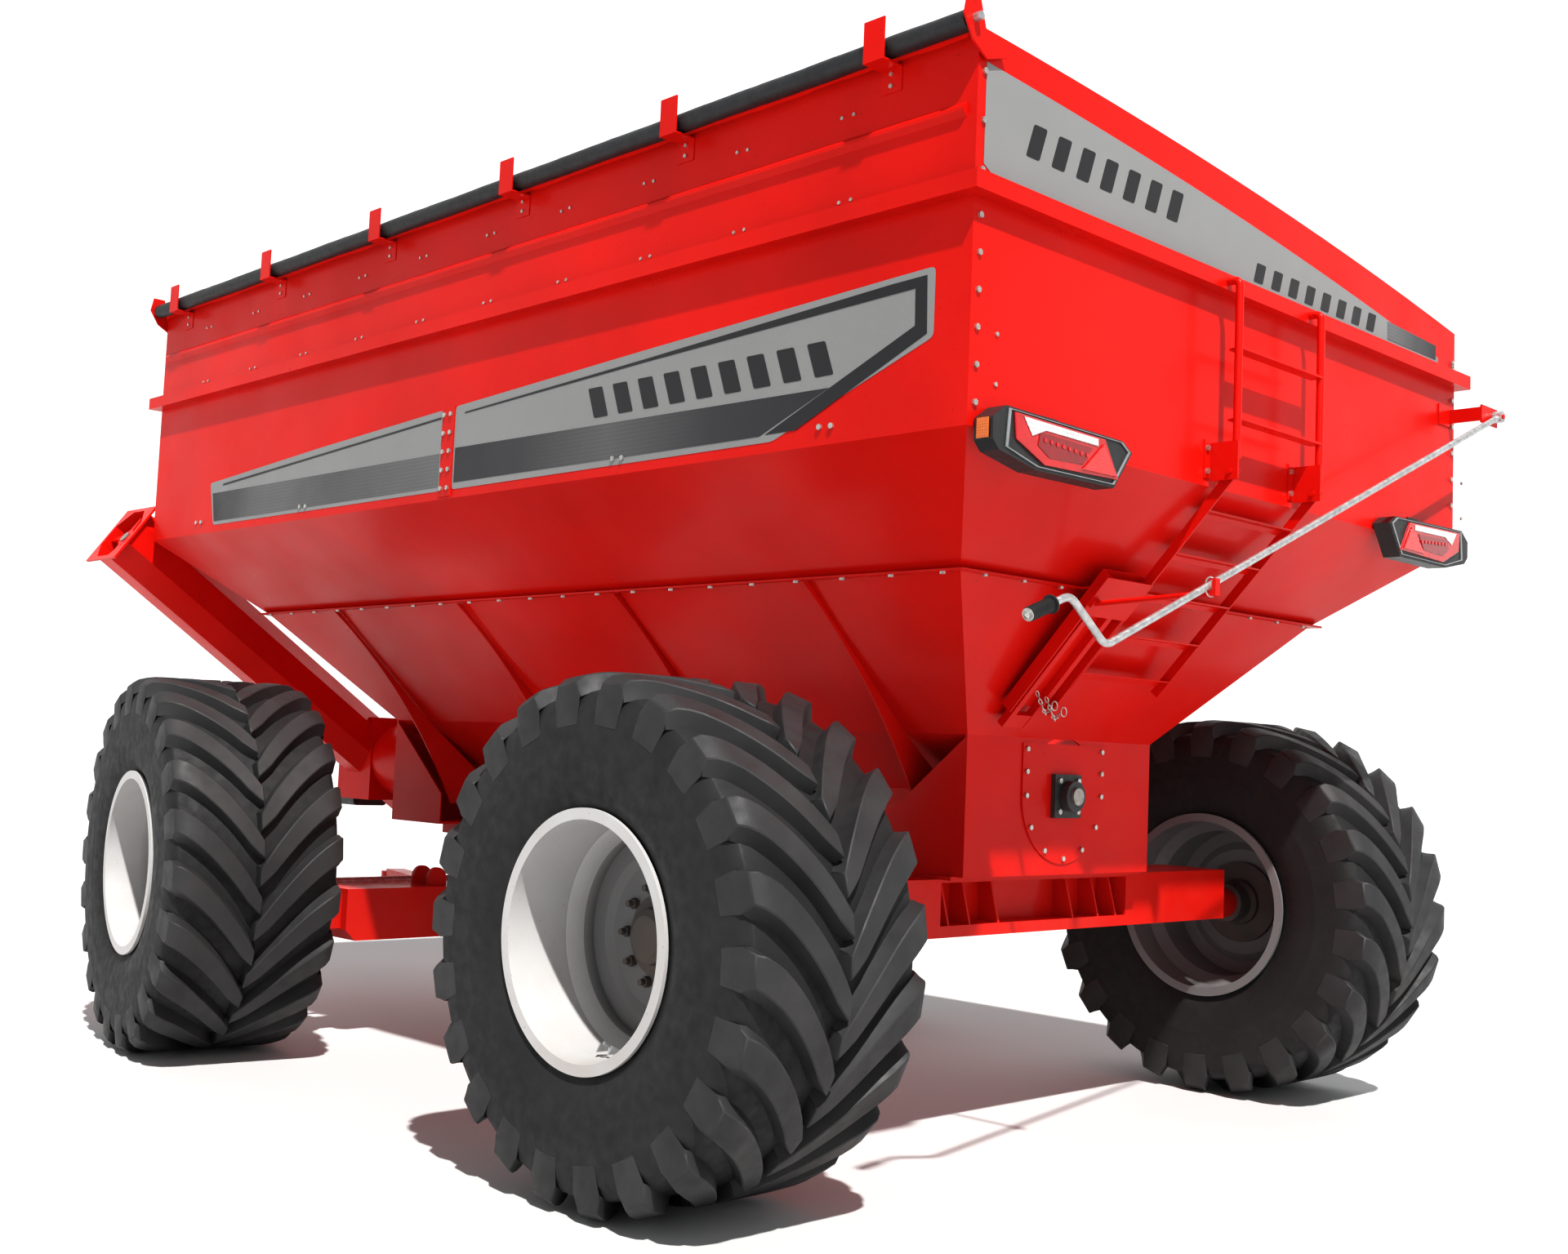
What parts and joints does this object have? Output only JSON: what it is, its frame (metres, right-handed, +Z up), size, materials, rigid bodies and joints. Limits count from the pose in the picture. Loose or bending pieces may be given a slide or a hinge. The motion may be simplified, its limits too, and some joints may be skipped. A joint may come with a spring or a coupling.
{
  "type": "grain cart",
  "caption": "Four-wheel grain cart: tapered sheet hopper with extension, steered front axle, drawbar, sump auger and folding side unloading tube, rear ladder and roll-tarp crank.",
  "frame": {"origin": "on the ground under the middle of the whole cart, on its centre line", "axes": "+X forward towards the drawbar, +Y to the cart's left, +Z up"},
  "size_m": [7.1886, 4.708, 3.9098],
  "materials": {
    "red_paint": "glossy red enamel",
    "trough_paint": "glossy red enamel, dusty",
    "rim_paint": "silver paint",
    "tyre_rubber": "matt, dusty",
    "hub_paint": "silver paint",
    "zinc": "zinc plated",
    "galvanised": "hot-dip galvanised",
    "auger_steel": "worn bright by grain",
    "cast_grey": "painted grey",
    "lamp_black": "moulded black",
    "lamp_lens": "red lens",
    "tarp_cloth": "black coated cloth",
    "grip_rubber": "ribbed black"
  },
  "bodies": {
    "chassis": {"auger_bearing": "cast_grey", "crank_brackets": "galvanised", "extension_front": "red_paint", "extension_left": "red_paint", "extension_rear": "red_paint", "extension_right": "red_paint", "front_bolster": "red_paint", "funnel_end_front": "red_paint", "funnel_end_rear": "red_paint", "funnel_ribs": "red_paint", "funnel_side_left": "red_paint", "funnel_side_right": "red_paint", "gate_channel": "red_paint", "gearbox": "cast_grey", "hopper_bolts": "zinc", "hopper_end_front": "red_paint", "hopper_end_rear": "red_paint", "hopper_side_left": "red_paint", "hopper_side_right": "red_paint", "ladder_upper": "red_paint", "lamp_housings": "lamp_black", "lamp_lenses": "lamp_lens", "rear_axle": "red_paint", "seam_strips": "red_paint", "sump_cover": "red_paint", "sump_end_front": "red_paint", "sump_end_rear": "red_paint", "sump_trough": "trough_paint", "tarp_brackets": "red_paint", "top_rail": "red_paint", "unload_tube_lower": "red_paint"},
    "front_axle": {"front_axle_beam": "red_paint"},
    "steering_head": {"steering_head": "red_paint"},
    "knuckle_left": {"steering_knuckle_left": "red_paint"},
    "knuckle_right": {"steering_knuckle_right": "red_paint"},
    "tie_rod": {"tie_rod": "galvanised"},
    "drawbar": {"drawbar": "red_paint"},
    "sump_auger": {"sump_auger": "auger_steel"},
    "pto_shaft": {"pto_input_shaft": "auger_steel"},
    "lower_auger": {"unload_auger_lower": "auger_steel"},
    "upper_tube": {"unload_tube_upper": "red_paint", "unload_spout": "red_paint"},
    "upper_auger": {"unload_auger_upper": "auger_steel"},
    "tarp_roll": {"tarp_roll": "tarp_cloth"},
    "tarp_crank": {"tarp_crank": "galvanised"},
    "crank_grip": {"crank_grip": "grip_rubber"},
    "ladder_lower": {"ladder_lower": "red_paint"},
    "gate_rods": {"gate_rods": "galvanised"},
    "wheel_rear_left": {"rim_rear_left": "rim_paint", "tyre_rear_left": "tyre_rubber", "hub_rear_left": "hub_paint"},
    "wheel_rear_right": {"rim_rear_right": "rim_paint", "tyre_rear_right": "tyre_rubber", "hub_rear_right": "hub_paint"},
    "wheel_front_left": {"rim_front_left": "rim_paint", "tyre_front_left": "tyre_rubber", "hub_front_left": "hub_paint"},
    "wheel_front_right": {"rim_front_right": "rim_paint", "tyre_front_right": "tyre_rubber", "hub_front_right": "hub_paint"}
  },
  "joints": [
    {"name": "axle_oscillate", "type": "hinge", "parent": "chassis", "child": "front_axle", "pos_m": [1.09069, 0, 0.9], "axis": [1, 0, 0], "range_deg": [-8, 8]},
    {"name": "steer", "type": "hinge", "parent": "front_axle", "child": "steering_head", "pos_m": [1.32069, 0, 0.595], "axis": [0, 0, 1], "range_deg": [-22.4, 54.8]},
    {"name": "steer_left", "type": "hinge", "parent": "front_axle", "child": "knuckle_left", "pos_m": [1.09069, 1.33, 0.885], "axis": [0, 0, 1], "range_deg": [-12.8, 31.3]},
    {"name": "steer_right", "type": "hinge", "parent": "front_axle", "child": "knuckle_right", "pos_m": [1.09069, -1.33, 0.885], "axis": [0, 0, 1], "range_deg": [-12.8, 31.3]},
    {"name": "tie_rod_shift", "type": "slide", "parent": "front_axle", "child": "tie_rod", "axis": [0, 1, 0], "range_m": [-0.0546, 0.1334]},
    {"name": "drawbar_lift", "type": "hinge", "parent": "steering_head", "child": "drawbar", "pos_m": [1.63752, -0.09229, 0.595], "axis": [-0.2797, -0.9601, 0], "range_deg": [0, 16]},
    {"name": "spin_rear_left", "type": "hinge", "parent": "chassis", "child": "wheel_rear_left", "pos_m": [-2.27031, 1.862, 0.885], "axis": [0, 1, 0], "continuous": true},
    {"name": "spin_rear_right", "type": "hinge", "parent": "chassis", "child": "wheel_rear_right", "pos_m": [-2.27031, -1.862, 0.885], "axis": [0, 1, 0], "continuous": true},
    {"name": "spin_front_left", "type": "hinge", "parent": "knuckle_left", "child": "wheel_front_left", "pos_m": [1.17996, 1.85446, 0.885], "axis": [0.1678, 0.9858, 0], "continuous": true},
    {"name": "spin_front_right", "type": "hinge", "parent": "knuckle_right", "child": "wheel_front_right", "pos_m": [1.00142, -1.85446, 0.885], "axis": [0.1678, 0.9858, 0], "continuous": true},
    {"name": "sump_auger_spin", "type": "hinge", "parent": "chassis", "child": "sump_auger", "pos_m": [-0.51131, 0, 1.394], "axis": [1, 0, 0], "continuous": true},
    {"name": "pto_spin", "type": "hinge", "parent": "chassis", "child": "pto_shaft", "pos_m": [2.98869, 0, 1.194], "axis": [1, 0, 0], "continuous": true},
    {"name": "lower_auger_spin", "type": "hinge", "parent": "chassis", "child": "lower_auger", "pos_m": [2.60869, 0, 1.35], "axis": [0, 0.8192, 0.5736], "continuous": true},
    {"name": "tube_unfold", "type": "hinge", "parent": "chassis", "child": "upper_tube", "pos_m": [2.60869, 1.51949, 2.70694], "axis": [-1, 0, 0], "range_deg": [0, 145]},
    {"name": "upper_auger_spin", "type": "hinge", "parent": "upper_tube", "child": "upper_auger", "pos_m": [2.60869, 0, 2.94694], "axis": [0, -1, 0], "continuous": true},
    {"name": "tarp_roll_turn", "type": "hinge", "parent": "chassis", "child": "tarp_roll", "pos_m": [-0.51131, 1.746, 3.822], "axis": [1, 0, 0], "continuous": true},
    {"name": "crank_lift", "type": "hinge", "parent": "chassis", "child": "tarp_crank", "pos_m": [-3.56631, -1.76, 3.14], "axis": [1, 0, 0], "range_deg": [0, 25]},
    {"name": "grip_turn", "type": "hinge", "parent": "tarp_crank", "child": "crank_grip", "pos_m": [-3.56631, 1.6, 1.965], "axis": [0, 0.9358, -0.3526], "continuous": true},
    {"name": "ladder_swing", "type": "hinge", "parent": "chassis", "child": "ladder_lower", "pos_m": [-3.47931, 0, 2.6], "axis": [0, 1, 0], "range_deg": [0, 41.6]},
    {"name": "gate_slide", "type": "slide", "parent": "chassis", "child": "gate_rods", "axis": [-0.6737, 0, 0.739], "range_m": [0, 0.15]}
  ],
  "couplings": [
    {"joint": "steer_left", "follows": "steer", "ratio": 0.57},
    {"joint": "steer_right", "follows": "steer", "ratio": 0.57},
    {"joint": "tie_rod_shift", "follows": "steer", "m_per_rad": 0.1394},
    {"joint": "pto_spin", "follows": "sump_auger_spin", "ratio": -2.6},
    {"joint": "lower_auger_spin", "follows": "sump_auger_spin", "ratio": 1}
  ]
}
